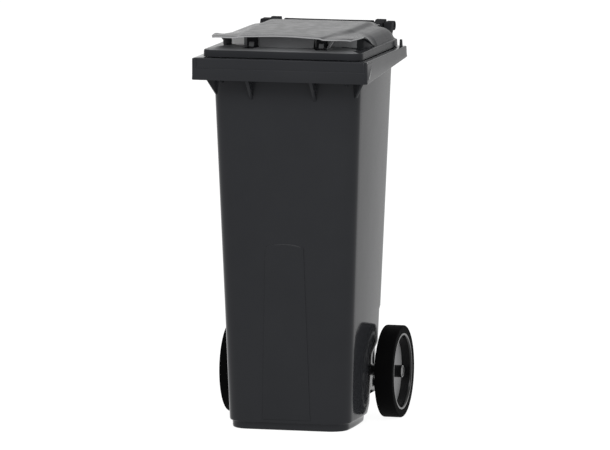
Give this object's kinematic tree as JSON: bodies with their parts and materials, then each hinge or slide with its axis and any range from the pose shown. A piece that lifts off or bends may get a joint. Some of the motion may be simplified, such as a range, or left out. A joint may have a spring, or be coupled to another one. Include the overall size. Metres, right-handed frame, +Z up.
{
  "type": "two-wheel refuse bin",
  "caption": "Tall two-wheel refuse bin with a comb-lift rim, a hinged lid with hand pockets, a rear grip bar and solid rubber wheels.",
  "frame": {"origin": "centre of the overall footprint, on the ground", "axes": "+Z up, the front of the bin faces -Y, +X to the right seen from the front"},
  "size_m": [0.484, 0.5457, 1.071],
  "materials": {
    "body_plastic": "semi-gloss anthracite moulded polyethylene",
    "lid_plastic": "semi-gloss anthracite moulded polyethylene",
    "axle_steel": "black coated steel bar",
    "pin_plastic": "black moulded plastic",
    "tyre_rubber": "matte black solid rubber",
    "wheel_plastic": "semi-gloss black moulded plastic",
    "bush_plastic": "off-white nylon",
    "small_steel": "bright zinc-plated steel"
  },
  "bodies": {
    "bin": {"body": "body_plastic", "axle": "axle_steel", "hinge_pin_right": "pin_plastic", "hinge_pin_left": "pin_plastic", "spacer_right": "pin_plastic", "spacer_left": "pin_plastic", "washer_right": "small_steel", "washer_left": "small_steel", "retaining_clip_right": "small_steel", "retaining_clip_left": "small_steel"},
    "lid": {"lid": "lid_plastic"},
    "wheel_right": {"tyre_right": "tyre_rubber", "wheel_rim_right": "wheel_plastic", "bush_inner_right": "bush_plastic", "bush_outer_right": "bush_plastic", "hub_cap_right": "wheel_plastic"},
    "wheel_left": {"tyre_left": "tyre_rubber", "wheel_rim_left": "wheel_plastic", "bush_inner_left": "bush_plastic", "bush_outer_left": "bush_plastic", "hub_cap_left": "wheel_plastic"}
  },
  "joints": [
    {"name": "lid_hinge", "type": "hinge", "parent": "bin", "child": "lid", "pos_m": [0, 0.26, 1.051], "axis": [-1, 0, 0], "range_deg": [0, 270]},
    {"name": "wheel_right_spin", "type": "hinge", "parent": "bin", "child": "wheel_right", "pos_m": [0.218, 0.129, 0.125], "axis": [1, 0, 0], "continuous": true},
    {"name": "wheel_left_spin", "type": "hinge", "parent": "bin", "child": "wheel_left", "pos_m": [-0.218, 0.129, 0.125], "axis": [1, 0, 0], "continuous": true}
  ]
}
